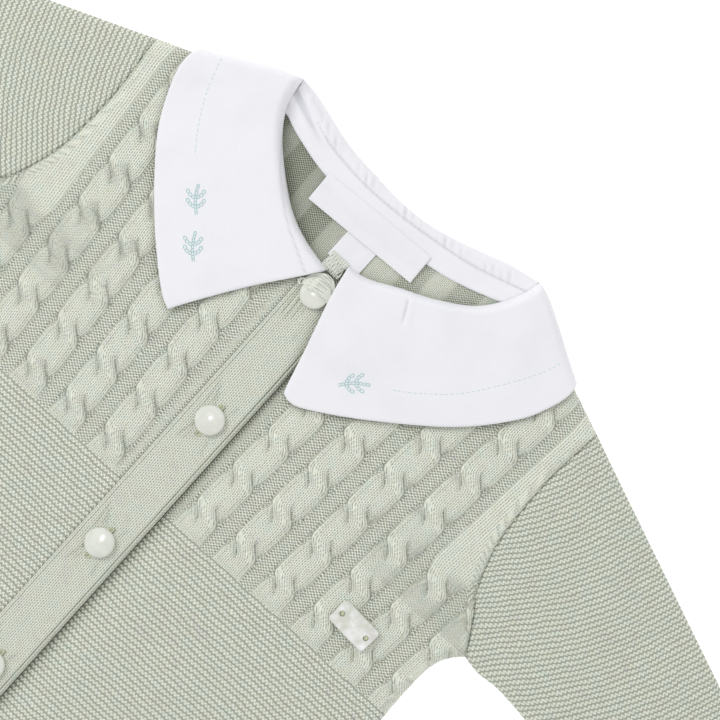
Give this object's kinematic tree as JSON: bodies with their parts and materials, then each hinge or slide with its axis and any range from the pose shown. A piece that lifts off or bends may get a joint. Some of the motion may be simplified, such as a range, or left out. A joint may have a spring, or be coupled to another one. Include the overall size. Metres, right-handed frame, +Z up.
{
  "type": "baby jumpsuit",
  "caption": "Baby jumpsuit lying flat, with a cable-knit yoke, garter-stitch body, long sleeves and legs, a white pointed collar and a buttoned front.",
  "frame": {"origin": "centre of the garment's bounding box, on the flat surface it lies on", "axes": "+Y from the legs to the neck, +X to the viewer's right as the front is looked at, +Z up out of the front"},
  "size_m": [0.4826, 0.5012, 0.0104],
  "materials": {
    "knit": "marled cotton knit, matt",
    "woven_cotton": "fine plain-woven cotton, matt",
    "label_cloth": "smooth woven tape",
    "yarn": "loose soft yarn",
    "pearl": "polished mother-of-pearl"
  },
  "bodies": {
    "root": {"back": "knit", "front_left": "knit", "front_right": "knit", "sleeve_left": "knit", "sleeve_right": "knit", "button_band": "knit", "under_band": "knit", "collar_left": "woven_cotton", "collar_right": "woven_cotton", "collar_back": "woven_cotton", "collar_stand": "woven_cotton", "neck_label": "label_cloth", "size_tab": "label_cloth", "neck_loop": "yarn", "button_neck": "pearl", "button_1": "pearl", "button_2": "pearl", "button_3": "pearl", "button_4": "pearl", "button_5": "pearl", "pearl_tab": "pearl"}
  },
  "joints": []
}
